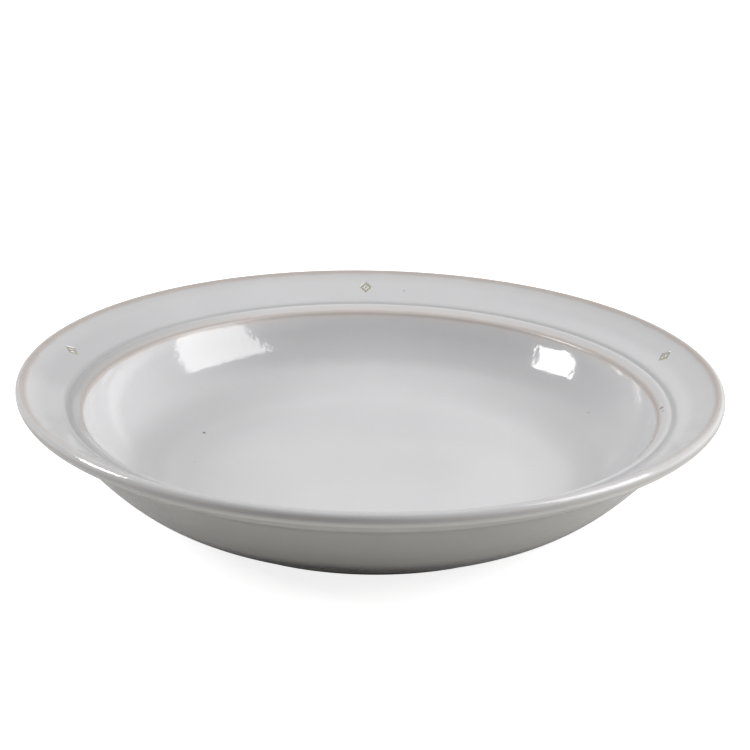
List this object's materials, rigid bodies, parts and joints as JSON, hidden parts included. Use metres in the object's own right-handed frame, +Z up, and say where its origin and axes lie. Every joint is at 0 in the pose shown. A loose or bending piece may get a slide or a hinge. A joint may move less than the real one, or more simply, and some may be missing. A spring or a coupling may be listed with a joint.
{
  "type": "rimmed soup plate",
  "caption": "Round soup plate in glazed stoneware: a deep rounded well inside a raised bead, a broad rim that slopes inwards to it, and a low bare foot ring.",
  "frame": {"origin": "centre of the foot ring's resting face", "axes": "+Z up along the plate's axis of turning; +Y passes through one of the pressed marks on the rim"},
  "size_m": [0.24, 0.24, 0.0435],
  "materials": {
    "stoneware": "fired, unglazed, fine-grained and matt",
    "glaze": "pale grey-white gloss glaze that thins to tan over edges",
    "oxide_stain": "olive-brown oxide stain under a thin gloss"
  },
  "bodies": {
    "root": {"clay_body": "stoneware", "well_glaze": "glaze", "rim_glaze": "glaze", "outer_glaze": "glaze", "base_glaze": "glaze", "mark_stain": "oxide_stain"}
  },
  "joints": []
}
